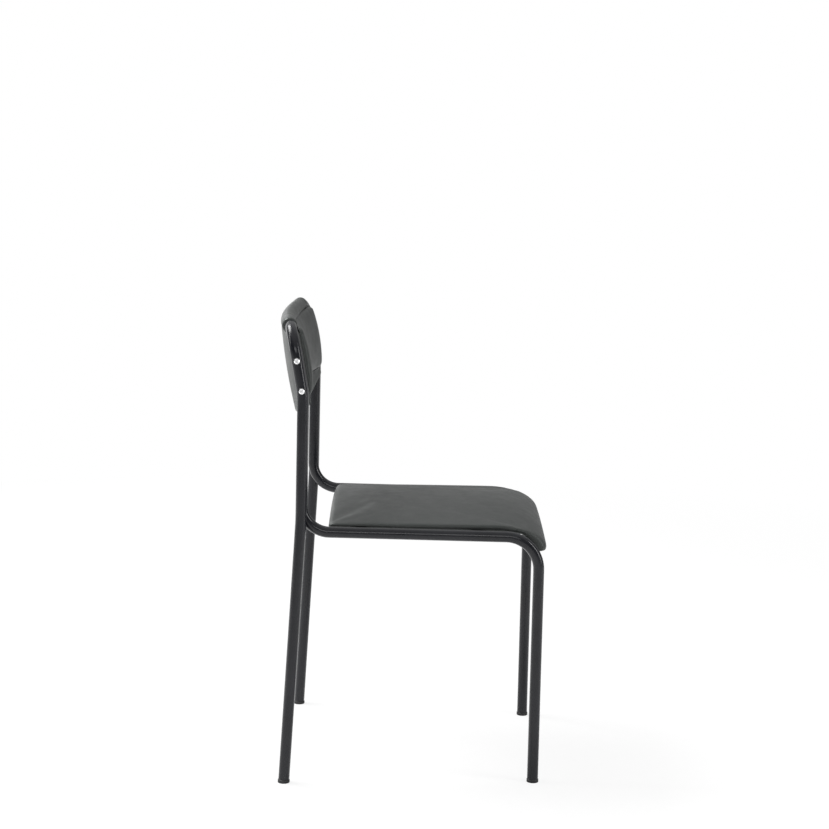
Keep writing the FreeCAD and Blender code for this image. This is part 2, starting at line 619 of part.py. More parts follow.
def make_seat_board():
    """Moulded plywood seat, bent down at the front, with stepped holes for the threaded nuts."""
    board = add_body("seat_board")
    profile = add_sketch(board, "seat_board_profile", "YZ_Plane")
    rear = size("seat_rear_depth") - VINYL - GAP
    inner = size("seat_board_radius")
    outer = inner + size("seat_board_thickness")
    centre = Vector(BOARD_INNER_FRONT + inner, BOARD_UNDER - inner, 0)
    axis = Vector(0, 0, 1)
    under_arc = Part.ArcOfCircle(Part.Circle(centre, axis, inner), math.pi / 2, math.pi)
    top_arc = Part.ArcOfCircle(Part.Circle(centre, axis, outer), math.pi / 2, math.pi)
    profile.addGeometry(Part.LineSegment(Vector(rear, BOARD_UNDER, 0), Vector(centre.x, BOARD_UNDER, 0)), False)
    profile.addGeometry(under_arc, False)
    profile.addGeometry(Part.LineSegment(
        Vector(BOARD_INNER_FRONT, centre.y, 0), Vector(BOARD_INNER_FRONT, BOARD_LIP, 0)), False)
    profile.addGeometry(Part.LineSegment(
        Vector(BOARD_INNER_FRONT, BOARD_LIP, 0), Vector(BOARD_OUTER_FRONT, BOARD_LIP, 0)), False)
    profile.addGeometry(Part.LineSegment(
        Vector(BOARD_OUTER_FRONT, BOARD_LIP, 0), Vector(BOARD_OUTER_FRONT, centre.y, 0)), False)
    profile.addGeometry(top_arc, False)
    profile.addGeometry(Part.LineSegment(Vector(centre.x, BOARD_TOP, 0), Vector(rear, BOARD_TOP, 0)), False)
    profile.addGeometry(Part.LineSegment(Vector(rear, BOARD_TOP, 0), Vector(rear, BOARD_UNDER, 0)), False)
    for first, first_end, second, second_end in (
            (0, 2, 1, 1), (1, 2, 2, 1), (4, 2, 5, 2), (5, 1, 6, 1)):
        profile.addConstraint(Sketcher.Constraint("Tangent", first, first_end, second, second_end))
    for first, second in ((2, 3), (3, 4), (6, 7), (7, 0)):
        profile.addConstraint(Sketcher.Constraint("Coincident", first, 2, second, 1))
    profile.addConstraint(Sketcher.Constraint("Coincident", 1, 3, 5, 3))
    for index in (0, 3, 6):
        profile.addConstraint(Sketcher.Constraint("Horizontal", index))
    for index in (2, 4, 7):
        profile.addConstraint(Sketcher.Constraint("Vertical", index))
    under_text = "Sizes.rail_height + Sizes.bar_above_rail_centre + Sizes.vinyl_thickness + Sizes.layer_gap"
    datums = [
        (("DistanceY", -1, 1, 0, 1, BOARD_UNDER), under_text),
        (("DistanceX", -1, 1, 7, 1, rear), "Sizes.seat_rear_depth - Sizes.vinyl_thickness - Sizes.layer_gap"),
        (("DistanceY", 7, 2, 7, 1, BOARD_TOP - BOARD_UNDER), "Sizes.seat_board_thickness"),
        (("Radius", 1, inner), "Sizes.seat_board_radius"),
        (("DistanceX", -1, 1, 3, 2, BOARD_OUTER_FRONT),
         "Sizes.seat_front_depth + Sizes.vinyl_thickness + Sizes.seat_front_foam"),
        (("DistanceY", -1, 1, 3, 1, BOARD_LIP),
         "Sizes.seat_lip_height + Sizes.vinyl_thickness + Sizes.layer_gap"),
    ]
    for datum, expression in datums:
        bind(profile, profile.addConstraint(Sketcher.Constraint(*datum)), expression)
    pad = board.newObject("PartDesign::Pad", "seat_board_width")
    pad.Profile = profile
    pad.Type = "Length"
    pad.Midplane = True
    pad.setExpression("Length", "Sizes.seat_width - 2 * (Sizes.vinyl_thickness + Sizes.layer_gap)")
    board.Tip = pad
    doc.recompute()
    solid = pad.Shape.Volume
    for word, radius_text, depth_text in (
            ("flange", "Sizes.nut_flange_diameter / 2", "Sizes.nut_flange_thickness"),
            ("barrel", "Sizes.nut_barrel_diameter / 2", "Sizes.seat_board_thickness * 2")):
        seats = add_sketch(board, "seat_board_%s_seats" % word, "XY_Plane")
        seats.setExpression("AttachmentOffset.Base.z", under_text + " + Sizes.seat_board_thickness")
        for i, (side, depth_alias) in enumerate(SEAT_SCREW_PLACES):
            centre = Vector(side * size("seat_screw_spacing") / 2, size(depth_alias), 0)
            seats.addGeometry(Part.Circle(centre, Vector(0, 0, 1), 4), False)
            bind(seats, seats.addConstraint(Sketcher.Constraint("Radius", i, 4)),
                 radius_text + " + Sizes.screw_clearance")
            bind(seats, seats.addConstraint(Sketcher.Constraint("DistanceX", -1, 1, i, 3, centre.x)),
                 "Sizes.seat_screw_spacing / 2 * %d" % side)
            bind(seats, seats.addConstraint(Sketcher.Constraint("DistanceY", -1, 1, i, 3, centre.y)),
                 "Sizes." + depth_alias)
        pocket = board.newObject("PartDesign::Pocket", "seat_board_%s_pockets" % word)
        pocket.Profile = seats
        pocket.Type = "Length"
        pocket.setExpression("Length", depth_text + " + Sizes.layer_gap")
        board.Tip = pocket
        doc.recompute()
        if pocket.Shape.Volume >= solid:
            raise ValueError("the nut seats cut nothing")
        solid = pocket.Shape.Volume
    return board


make_seat_board()

# Foam over the board, and the vinyl cover drawn round both and tucked under the board
outer_bend = size("seat_board_radius") + size("seat_board_thickness")
foam_underside = (BOARD_TOP + GAP, outer_bend + GAP, BOARD_OUTER_FRONT - GAP, BOARD_LIP, 0.5)
add_feature("seat_foam", seat_solid(VINYL + GAP, foam_underside))

cover_outer = seat_solid(0, (
    BOARD_UNDER - VINYL, size("seat_board_radius") - VINYL, BOARD_INNER_FRONT + VINYL, size("seat_lip_height"), 3.0))
cover_inner = seat_solid(VINYL, (
    BOARD_UNDER, size("seat_board_radius"), BOARD_INNER_FRONT, size("seat_lip_height") + VINYL, 1.8))
FLAT_START = BOARD_INNER_FRONT + size("seat_board_radius")
WINDOW_X = SEAT_HALF - size("tuck_width")
WINDOW_REAR = size("seat_rear_depth") - size("tuck_width")
window = Part.makeBox(
    2 * WINDOW_X, WINDOW_REAR - FLAT_START, 4 * VINYL,
    Vector(-WINDOW_X, FLAT_START, BOARD_UNDER - 3 * VINYL))
add_feature("seat_cover", hollow(cover_outer, cover_inner).cut(window))


def seat_screw_points(height):
    return [Vector(side * size("seat_screw_spacing") / 2, size(depth_alias), height)
            for side, depth_alias in SEAT_SCREW_PLACES]


def make_under_cloth():
    """Thin cloth that closes the underside between the tucked edges of the vinyl."""
    inset = 1.0
    cloth = Part.makeBox(
        2 * (WINDOW_X - inset), WINDOW_REAR - FLAT_START - 2 * inset, size("cloth_thickness"),
        Vector(-WINDOW_X + inset, FLAT_START + inset, BAR_TOP + GAP / 2))
    radius = size("seat_screw_diameter") / 2 + size("screw_clearance")
    for point in seat_screw_points(BAR_TOP - 1):
        cloth = cloth.cut(Part.makeCylinder(radius, 4, point))
    return cloth


add_feature("seat_under_cloth", make_under_cloth())


def add_copies(name, master, placements):
    """Identical fasteners in one piece list entry."""
    doc.recompute()
    shapes = []
    for placement in placements:
        shape = master.Shape.copy()
        shape.Placement = placement
        shapes.append(shape)
    return add_feature(name, Part.makeCompound(shapes))


seat_screw = add_body("seat_screw_master")
SEAT_SCREW_HEAD = 3.6
screw_length = size("bar_height") + BOARD_TOP - BAR_TOP - size("nut_flange_thickness")
revolved_profile(seat_screw, "seat_screw", [
    (0, -3.6, "0", "-%.1f" % SEAT_SCREW_HEAD),
    (5, -3.6, "Sizes.seat_screw_head / 2 - 1", "-%.1f" % SEAT_SCREW_HEAD),
    (6, -2.4, "Sizes.seat_screw_head / 2", "-%.1f" % (SEAT_SCREW_HEAD * 2 / 3)),
    (6, -0.15, "Sizes.seat_screw_head / 2", "-Sizes.layer_gap"),
    (3, -0.15, "Sizes.seat_screw_diameter / 2", "-Sizes.layer_gap"),
    (3, 18, "Sizes.seat_screw_diameter / 2", "Sizes.bar_height + Sizes.vinyl_thickness"
     " + Sizes.seat_board_thickness - Sizes.nut_flange_thickness"),
    (0, 18, "0", "Sizes.bar_height + Sizes.vinyl_thickness"
     " + Sizes.seat_board_thickness - Sizes.nut_flange_thickness"),
])
add_copies("seat_screws", seat_screw, [
    FreeCAD.Placement(point, FreeCAD.Rotation()) for point in seat_screw_points(BAR_TOP - size("bar_height"))])

seat_nut = add_body("seat_nut_master")
revolved_profile(seat_nut, "seat_nut", [
    (3.1, 0, "Sizes.seat_screw_diameter / 2 + Sizes.screw_clearance / 2", "0"),
    (9, 0, "Sizes.nut_flange_diameter / 2", "0"),
    (9, -1, "Sizes.nut_flange_diameter / 2", "-Sizes.nut_flange_thickness"),
    (4, -1, "Sizes.nut_barrel_diameter / 2", "-Sizes.nut_flange_thickness"),
    (4, -7, "Sizes.nut_barrel_diameter / 2", "-Sizes.seat_board_thickness + Sizes.nut_flange_thickness"),
    (3.1, -7, "Sizes.seat_screw_diameter / 2 + Sizes.screw_clearance / 2",
     "-Sizes.seat_board_thickness + Sizes.nut_flange_thickness"),
])
add_copies("seat_nuts", seat_nut, [
    FreeCAD.Placement(point, FreeCAD.Rotation()) for point in seat_screw_points(BOARD_TOP)])


# Backrest

CURVE_RADIUS = size("back_curve_radius")
CURVE_CENTRE = size("back_sagitta") - CURVE_RADIUS
BOARD_REAR = size("back_board_offset")
BOARD_FRONT = BOARD_REAR - size("back_board_thickness")
WRAP_REAR = BOARD_REAR + VINYL + GAP
RIM_FRONT = -size("back_rim_offset")
CORNER_X = HOOP_X - size("hoop_corner_radius")
CORNER_Z = size("top_bar_height") - size("hoop_corner_radius")
CLEAT_OUTER = BACK_HALF - VINYL - 2.0
CLEAT_INNER = CLEAT_OUTER - size("cleat_width")
BOARD_HALF = CLEAT_INNER - GAP


def back_curve(x, offset=0.0):
    """Rearward place of the panel's plan curve at one X, or of a curve concentric with it."""
    return CURVE_CENTRE + math.sqrt((CURVE_RADIUS + offset) ** 2 - x ** 2)


def back_low(x):
    """Height of the panel's lower edge, which rises towards the sides."""
    return size("back_bottom") + size("back_bottom_rise") * (x / BACK_HALF) ** 2


def back_high(x):
    """Height of the panel's top edge, just under the padded roll and its corners."""
    drop = max(abs(x) - CORNER_X, 0)
    reach = size("hoop_corner_radius") - size("roll_radius")
    return CORNER_Z + math.sqrt(reach ** 2 - drop ** 2) - GAP


def rounded_section(x, front, rear, low, high, radii, bulge):
    """Section at one X with four round corners and a front side that stands out by a bulge.

    The radii are those of the rear bottom, front bottom, front top and rear top corners.
    """
    rear_bottom, front_bottom, front_top, rear_top = radii
    points = [
        Vector(x, rear - rear_bottom, low), Vector(x, front + front_bottom, low),
        Vector(x, front, low + front_bottom), Vector(x, front, high - front_top),
        Vector(x, front + front_top, high), Vector(x, rear - rear_top, high),
        Vector(x, rear, high - rear_top), Vector(x, rear, low + rear_bottom),
    ]
    front_middle = (points[2] + points[3]) * 0.5 - Vector(0, bulge, 0)
    return Part.Wire([
        line_edge(points[0], points[1]),
        corner_edge(points[1], points[2], Vector(x, front, low)),
        arc_edge(points[2], front_middle, points[3]),
        corner_edge(points[3], points[4], Vector(x, front, high)),
        line_edge(points[4], points[5]),
        corner_edge(points[5], points[6], Vector(x, rear, high)),
        line_edge(points[6], points[7]),
        corner_edge(points[7], points[0], Vector(x, rear, low)),
    ])


# Share of the half width, and how far the side has rounded in from the full depth
WRAP_EDGE_STATIONS = [(1.0, 3.2), (0.99, 1.2), (0.97, 0.0)]
WRAP_INNER_STATIONS = 8


def wrap_solid(skin):
    """Envelope of the rear cover, drawn in by a skin thickness."""
    stations = list(WRAP_EDGE_STATIONS)
    for index in range(WRAP_INNER_STATIONS - 1, -1, -1):
        stations.append((0.97 * index / WRAP_INNER_STATIONS, 0.0))
    wires = []
    for share, inset in mirrored_stations(stations):
        x = share * (BACK_HALF - skin)
        wires.append(rounded_section(
            x, back_curve(x, RIM_FRONT + skin + inset), back_curve(x, WRAP_REAR - skin - inset),
            back_low(x) + skin + inset, back_high(x) - skin,
            (6.0 - skin, 3.5 - skin, 2.0 - skin / 2, 2.0 - skin / 2), 0.3))
    return Part.makeLoft(wires, True, True)


PAD_INSETS = [0.0, 0.28, 1.0]


def pad_solid(skin, rear_offset):
    """Envelope of the front pad, drawn in by a skin thickness, back to an offset from the plan curve."""
    half = size("pad_half_width") - skin
    corner = size("pad_corner_radius")
    stations = []
    for share in PAD_INSETS:
        outward = corner * (1 - share)
        rounding = corner - math.sqrt(corner ** 2 - outward ** 2)
        stations.append((half - corner * share, rounding, 6.0 * (rounding / corner)))
    for share in (0.8, 0.6, 0.4, 0.2, 0.0):
        stations.append((share * (half - corner), 0.0, 0.0))
    wires = []
    for x, rounding, thinning in mirrored_stations(stations):
        crown = size("pad_crown") * (1 - (x / half) ** 2)
        depth = size("pad_edge_depth") + crown - thinning - skin
        wires.append(rounded_section(
            x, back_curve(x, RIM_FRONT - depth), back_curve(x, rear_offset),
            size("pad_low") + rounding + skin, size("pad_high") - rounding - skin,
            (1.0, 6.0 - skin, 6.0 - skin, 1.0), size("pad_bulge")))
    return Part.makeLoft(wires, True, True)


def curved_block(inner_x, outer_x, front_offset, rear_offset, low, high):
    """Block bent to the plan curve between two X values and two heights."""
    middle_x = (inner_x + outer_x) / 2
    front = [Vector(x, back_curve(x, front_offset), low) for x in (inner_x, middle_x, outer_x)]
    rear = [Vector(x, back_curve(x, rear_offset), low) for x in (outer_x, middle_x, inner_x)]
    outline = Part.Wire([
        arc_edge(*front), line_edge(front[2], rear[0]), arc_edge(*rear), line_edge(rear[2], front[0])])
    return Part.Face(outline).extrude(Vector(0, 0, high - low))


def make_back_board():
    """Curved plywood with a lower edge that follows the cover's."""
    blank = curved_block(-BOARD_HALF, BOARD_HALF, BOARD_FRONT, BOARD_REAR,
                         size("back_bottom"), size("pad_high") - 2 * VINYL)
    margin = 7.0
    ends = [Vector(side * BOARD_HALF, -200, back_low(BOARD_HALF) + margin) for side in (-1, 1)]
    below = [Vector(side * BOARD_HALF, -200, size("back_bottom") - 20) for side in (1, -1)]
    edge = arc_edge(ends[0], Vector(0, -200, back_low(0) + margin), ends[1])
    waste = Part.Face(Part.Wire([edge, line_edge(ends[1], below[0]), line_edge(below[0], below[1]),
                                 line_edge(below[1], ends[0])]))
    return blank.cut(waste.extrude(Vector(0, 400, 0)))


def side_bores(radius, start_x, length):
    """Four lateral bores on the screw axes, from an X value outwards."""
    bores = []
    for side in (-1, 1):
        for level in SCREW_LEVELS:
            bores.append(Part.makeCylinder(radius, length, Vector(side * start_x, 0, level), Vector(side, 0, 0)))
    return bores


back_board = make_back_board()
add_feature("back_board", back_board, BACK_PLACEMENT)

cleat_front = -size("cleat_depth") / 2 + 0.4
cleat_rear = size("cleat_depth") / 2 + 0.4
cleat_right = curved_block(CLEAT_INNER, CLEAT_OUTER, cleat_front, cleat_rear,
                           size("cleat_low"), size("cleat_high"))
cleat_left = cleat_right.mirror(Vector(0, 0, 0), Vector(1, 0, 0))
insert_start = CLEAT_OUTER - size("insert_length")
insert_bores = side_bores(size("insert_diameter") / 2, insert_start - GAP, size("insert_length") + 3)
for name, cleat in (("back_cleat_left", cleat_left), ("back_cleat_right", cleat_right)):
    add_feature(name, cleat.cut(insert_bores), BACK_PLACEMENT)

screw_radius = size("back_screw_diameter") / 2
cover_bores = side_bores(screw_radius + size("screw_clearance"), CLEAT_OUTER - 4, 12)
wrap_outer = wrap_solid(0)
wrap_inner = wrap_solid(VINYL)
pad_window = pad_solid(-GAP, RIM_FRONT + 3 * VINYL)
add_feature("back_rear_cover", hollow(wrap_outer, wrap_inner).cut([pad_window] + cover_bores), BACK_PLACEMENT)
pad_rear = RIM_FRONT + VINYL
tuck_front = pad_rear - VINYL / 2


def pad_core(margin, front_offset, rear_offset):
    """Block inside the front pad's tucked edge."""
    half = size("pad_half_width") - size("pad_tuck") - margin
    return curved_block(-half, half, front_offset, rear_offset,
                        size("pad_low") + size("pad_tuck") + margin, size("pad_high") - size("pad_tuck") - margin)


pad_skin = hollow(pad_solid(0, pad_rear), pad_solid(VINYL, tuck_front))
add_feature("back_front_cover", pad_skin.cut(pad_core(0, tuck_front - VINYL, pad_rear + VINYL)), BACK_PLACEMENT)
back_foam = wrap_solid(VINYL + GAP).fuse([
    pad_solid(VINYL + GAP, tuck_front - GAP), pad_core(GAP, tuck_front - VINYL, BOARD_FRONT)])
hollow_board = curved_block(-BOARD_HALF - GAP, BOARD_HALF + GAP, BOARD_FRONT - GAP, BOARD_REAR + 20,
                            size("back_bottom") - 20, size("pad_high") + 20)
add_feature("back_foam", back_foam.cut([hollow_board, cleat_left, cleat_right] + cover_bores), BACK_PLACEMENT)


def make_roll_path(share):
    """Middle of the hoop from part-way round one top corner to the same place on the other."""
    edges = hoop_path.Edges
    left, right = edges[5], edges[-6]
    pieces = []
    for edge, keep_end in ((left, True), (right, False)):
        span = edge.LastParameter - edge.FirstParameter
        forward = edge.valueAt(edge.FirstParameter).z < edge.valueAt(edge.LastParameter).z
        if forward:
            low, high = edge.LastParameter - span * share, edge.LastParameter
        else:
            low, high = edge.FirstParameter + span * share, edge.FirstParameter
        points = [edge.valueAt(value) for value in (low, (low + high) / 2, high)]
        if not keep_end:
            points.reverse()
        pieces.append(arc_edge(*points))
    return Part.Wire([pieces[0]] + edges[6:-6] + [pieces[1]])


roll_share = size("roll_corner_share")
inner_share = roll_share - VINYL / (size("hoop_corner_radius") * math.pi / 2)
tube_space = swept(make_roll_path(min(roll_share + 0.2, 0.98)), TUBE_RADIUS + GAP)
roll_inner = swept(make_roll_path(inner_share), size("roll_radius") - VINYL)
add_feature("back_roll_cover", swept(make_roll_path(roll_share), size("roll_radius")).cut([roll_inner, tube_space]))
roll_foam = swept(make_roll_path(inner_share - 0.003), size("roll_radius") - VINYL - GAP)
add_feature("back_roll_foam", roll_foam.cut(tube_space))


# Screws of the back, with saddle washers under their heads and threaded inserts in the cleats

saddle_start = HOOP_X - size("tube_diameter") / 4
saddle_length = TUBE_RADIUS * 1.5 + size("saddle_height")
saddles = []
for side in (-1, 1):
    tube_line = Part.makeCylinder(TUBE_RADIUS + GAP / 2, 200, Vector(side * HOOP_X, 0, -40), Vector(0, 0, 1))
    for level in SCREW_LEVELS:
        centre = Vector(side * saddle_start, 0, level)
        saddle = Part.makeCylinder(size("saddle_diameter") / 2, saddle_length, centre, Vector(side, 0, 0))
        bore = Part.makeCylinder(screw_radius + size("screw_clearance"), 40, centre, Vector(side, 0, 0))
        inner = Part.makeBox(2 * TUBE_RADIUS, 4 * TUBE_RADIUS, 4 * TUBE_RADIUS, Vector(
            side * HOOP_X - TUBE_RADIUS - side * (TUBE_RADIUS - 7), -2 * TUBE_RADIUS, level - 2 * TUBE_RADIUS))
        saddles.append(saddle.cut([tube_line, bore, inner]))
add_feature("back_screw_saddles", Part.makeCompound(saddles), BACK_PLACEMENT)

HEAD_SEAT = HOOP_X + TUBE_RADIUS + size("saddle_height")
SCREW_REACH = HEAD_SEAT - insert_start - 2
back_screw = add_body("back_screw_master")
revolved_profile(back_screw, "back_screw", [
    (0, 1.2, "0", "1.2"),
    (1.6, 1.2, "Sizes.back_screw_head * 0.16", "1.2"),
    (1.6, 2.9, "Sizes.back_screw_head * 0.16", "2.9"),
    (3.2, 2.9, "Sizes.back_screw_head * 0.32", "2.9"),
    (5, 1.4, "Sizes.back_screw_head / 2", "1.4"),
    (5, 0.15, "Sizes.back_screw_head / 2", "Sizes.layer_gap"),
    (2.5, 0.15, "Sizes.back_screw_diameter / 2", "Sizes.layer_gap"),
    (2.5, -50, "Sizes.back_screw_diameter / 2", "%.3f" % -SCREW_REACH),
    (0, -50, "0", "%.3f" % -SCREW_REACH),
])
insert = add_body("back_insert_master")
revolved_profile(insert, "back_insert", [
    (2.55, 0, "Sizes.back_screw_diameter / 2 + Sizes.screw_clearance / 4", "0"),
    (3.4, 0, "Sizes.insert_diameter / 2 - Sizes.screw_clearance / 2", "0"),
    (3.4, 12, "Sizes.insert_diameter / 2 - Sizes.screw_clearance / 2", "Sizes.insert_length"),
    (2.55, 12, "Sizes.back_screw_diameter / 2 + Sizes.screw_clearance / 4", "Sizes.insert_length"),
])


def side_placements(x):
    """Placements on the four screw axes, +Z outwards."""
    placements = []
    for side in (-1, 1):
        for level in SCREW_LEVELS:
            local = direction_placement(Vector(side * x, 0, level), Vector(side, 0, 0))
            placements.append(BACK_PLACEMENT.multiply(local))
    return placements


add_copies("back_screws", back_screw, side_placements(HEAD_SEAT))
add_copies("back_inserts", insert, side_placements(insert_start))

NODES = [
    "back_hoop", "front_frame_left", "front_frame_right", "seat_cross_bar_front", "seat_cross_bar_rear",
    "foot_glide_front_left", "foot_glide_front_right", "foot_glide_rear_left", "foot_glide_rear_right",
    "upright_cap_left", "upright_cap_right", "seat_board", "seat_foam", "seat_cover", "seat_under_cloth",
    "seat_screws", "seat_nuts", "back_board", "back_cleat_left", "back_cleat_right", "back_foam",
    "back_front_cover", "back_rear_cover", "back_roll_foam", "back_roll_cover", "back_screws",
    "back_screw_saddles", "back_inserts",
]

doc.recompute()
for item in doc.Objects:
    if "Invalid" in item.State or "Error" in item.State:
        raise ValueError("%s did not build" % item.Name)
pieces = {item.Label: item for item in doc.Objects if item.Label in NODES}
for name in NODES:
    shape = pieces[name].Shape
    if shape.isNull() or not shape.isValid() or not shape.Solids:
        raise ValueError("%s has no sound solid" % name)

os.makedirs("parts", exist_ok=True)
for name in NODES:
    pieces[name].Shape.exportStep("parts/%s.step" % name)
    print(name, len(pieces[name].Shape.Solids), round(pieces[name].Shape.Volume))
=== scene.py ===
"""Looks of the choir chair.

Powder-coated tube frame, vinyl seat and back, bright screws, studio floor and light.
"""
import math

import bmesh
import bpy
import numpy as np
from mathutils import Matrix, Vector


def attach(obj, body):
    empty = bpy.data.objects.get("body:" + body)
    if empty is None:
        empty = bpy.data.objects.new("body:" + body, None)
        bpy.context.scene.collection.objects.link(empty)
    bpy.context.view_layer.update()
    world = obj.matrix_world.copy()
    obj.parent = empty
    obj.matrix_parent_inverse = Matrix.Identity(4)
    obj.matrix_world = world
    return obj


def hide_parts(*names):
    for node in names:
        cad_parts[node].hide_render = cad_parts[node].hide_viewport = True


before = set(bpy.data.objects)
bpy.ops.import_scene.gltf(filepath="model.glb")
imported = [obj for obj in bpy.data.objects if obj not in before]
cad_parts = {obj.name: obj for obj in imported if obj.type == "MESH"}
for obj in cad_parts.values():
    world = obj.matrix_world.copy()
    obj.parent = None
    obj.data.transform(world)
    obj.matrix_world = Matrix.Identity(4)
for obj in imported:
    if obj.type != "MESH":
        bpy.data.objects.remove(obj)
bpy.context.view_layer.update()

# Places shared by several pieces, in metres
LEAN = math.radians(10.2)
BACK_ORIGIN = Vector((0.0, 0.1952, 0.705))
BACK_AXES = Matrix.Rotation(-LEAN, 4, "X")
BACK_INVERSE = BACK_AXES.inverted()
TUBE_RADIUS = 0.010
HOOP_X = 0.2144
TOP_BAR_HEIGHT = 0.1215
TOP_BAR_SET_BACK = 0.0255
TOP_BAR_RADIUS = 1.2
HOOP_CORNER_RADIUS = 0.050


def back_point(x, rearward, upward):
    """Point of the backrest's leaning frame in the chair's frame."""
    return BACK_ORIGIN + BACK_AXES @ Vector((x, rearward, upward))


def back_local(point):
    """Point of the chair's frame in the backrest's leaning frame."""
    return BACK_INVERSE @ (Vector(point) - BACK_ORIGIN)


# Sections across a padded piece stand closer together towards its sides, and its edge begins at EDGE_START
SIDE_STATIONS = 26
EDGE_START = 0.965
EDGE_RUN = 0.035


def side_shares():
    """Shares of the half width at which a padded piece has its sections."""
    return [math.sin(math.pi / 2 * i / SIDE_STATIONS) for i in range(-SIDE_STATIONS, SIDE_STATIONS + 1)]


def edge_share(share):
    """How far a section is into the piece's edge, from 0 to 1."""
    return max(0.0, (abs(share) - EDGE_START) / EDGE_RUN)


# Meshes

def new_object(name, vertices, faces, smooth=True):
    mesh = bpy.data.meshes.new(name)
    mesh.from_pydata([tuple(v) for v in vertices], [], faces)
    mesh.validate()
    mesh.update()
    if smooth:
        mesh.polygons.foreach_set("use_smooth", [True] * len(mesh.polygons))
    piece = bpy.data.objects.new(name, mesh)
    bpy.context.scene.collection.objects.link(piece)
    return piece


def loop_mesh(name, loops, cap_ends=True):
    """Closed skin through equal closed loops of points."""
    count = len(loops[0])
    vertices = [point for loop in loops for point in loop]
    faces = []
    for i in range(len(loops) - 1):
        for j in range(count):
            k = (j + 1) % count
            faces.append((i * count + j, i * count + k, (i + 1) * count + k, (i + 1) * count + j))
    if cap_ends:
        faces.append(tuple(reversed(range(count))))
        last = (len(loops) - 1) * count
        faces.append(tuple(range(last, last + count)))
    piece = new_object(name, vertices, faces)
    mesh = bmesh.new()
    mesh.from_mesh(piece.data)
    bmesh.ops.recalc_face_normals(mesh, faces=mesh.faces)
    mesh.to_mesh(piece.data)
    mesh.free()
    return piece


def select_only(piece):
    for item in bpy.context.selected_objects:
        item.select_set(False)
    piece.select_set(True)
    bpy.context.view_layer.objects.active = piece


def apply_modifier(piece, modifier):
    select_only(piece)
    bpy.ops.object.modifier_apply(modifier=modifier.name)


def coordinates(mesh):
    flat = np.empty(len(mesh.vertices) * 3)
    mesh.vertices.foreach_get("co", flat)
    return flat.reshape(-1, 3)


def set_coordinates(mesh, points):
    mesh.vertices.foreach_set("co", points.ravel())
    mesh.update()


# Cushions: mesh size, and how far the simulated swelling is taken over
VOXEL = 0.004
SIMULATED_SHARE = 0.6
CUSHION_PRESSURE = 4.0
CLOTH_FRAMES = 20


def remesh(piece, rounds):
    modifier = piece.modifiers.new("remesh", "REMESH")
    modifier.mode = "VOXEL"
    modifier.voxel_size = VOXEL
    modifier.use_smooth_shade = True
    apply_modifier(piece, modifier)
    smooth = piece.modifiers.new("smooth", "SMOOTH")
    smooth.factor = 0.5
    smooth.iterations = rounds
    apply_modifier(piece, smooth)


def subdivide(piece):
    modifier = piece.modifiers.new("round", "SUBSURF")
    modifier.levels = 1
    modifier.render_levels = 1
    apply_modifier(piece, modifier)


def inflate(piece, rounds, cap, held):
    """Blow a stuffed piece up a little with a cloth simulation. Vertices where held() is true stay put."""
    remesh(piece, rounds)
    start = coordinates(piece.data)
    group = piece.vertex_groups.new(name="held")
    group.add([i for i, point in enumerate(start) if held(point)], 1.0, "REPLACE")
    modifier = piece.modifiers.new("cloth", "CLOTH")
    settings = modifier.settings
    settings.quality = 6
    settings.mass = 0.35
    settings.tension_stiffness = 22
    settings.compression_stiffness = 22
    settings.shear_stiffness = 12
    settings.bending_stiffness = 2.5
    settings.use_pressure = True
    settings.uniform_pressure_force = CUSHION_PRESSURE
    settings.effector_weights.gravity = 0
    settings.vertex_group_mass = "held"
    modifier.collision_settings.use_collision = False
    scene = bpy.context.scene
    for number in range(1, CLOTH_FRAMES + 1):
        scene.frame_set(number)
    apply_modifier(piece, modifier)
    scene.frame_set(1)
    moved = coordinates(piece.data) - start
    length = np.linalg.norm(moved, axis=1, keepdims=True)
    moved *= np.minimum(1.0, cap / np.maximum(length, 1e-9))
    set_coordinates(piece.data, start + moved * SIMULATED_SHARE)
    settle = piece.modifiers.new("settle", "SMOOTH")
    settle.factor = 0.5
    settle.iterations = 4
    apply_modifier(piece, settle)
    subdivide(piece)
    piece.data.polygons.foreach_set("use_smooth", [True] * len(piece.data.polygons))


def arc_points(start, middle, end, count):
    """Points along the circle arc through three points of a plane, without the last one."""
    start, middle, end = (np.array(point, float) for point in (start, middle, end))
    rows = np.array([middle - start, end - start])
    side = 0.5 * np.array([middle @ middle - start @ start, end @ end - start @ start])
    centre = np.linalg.solve(rows, side)
    radius = np.linalg.norm(start - centre)
    angles = [math.atan2(*(point - centre)[::-1]) for point in (start, middle, end)]
    turn = (angles[2] - angles[0]) % (2 * math.pi)
    through = (angles[1] - angles[0]) % (2 * math.pi)
    if through > turn:
        turn -= 2 * math.pi
    return [tuple(centre + radius * np.array([math.cos(angles[0] + turn * i / count),
                                              math.sin(angles[0] + turn * i / count)])) for i in range(count)]


def line_points(start, end, count):
    return [(start[0] + (end[0] - start[0]) * i / count, start[1] + (end[1] - start[1]) * i / count)
            for i in range(count)]


def corner_points(start, end, corner, count):
    middle = ((start[0] + end[0]) / 2, (start[1] + end[1]) / 2)
    pull = math.sqrt(2) - 1
    through = (middle[0] + (corner[0] - middle[0]) * pull, middle[1] + (corner[1] - middle[1]) * pull)
    return arc_points(start, through, end, count)


# Materials

def make_material(name):
    material = bpy.data.materials.new(name)
    material.use_nodes = True
    nodes = material.node_tree.nodes
    links = material.node_tree.links
    return material, nodes, links, nodes["Principled BSDF"]


def add_node(nodes, kind, **inputs):
    node = nodes.new(kind)
    for key, value in inputs.items():
        node.inputs[key.replace("_", " ")].default_value = value
    return node


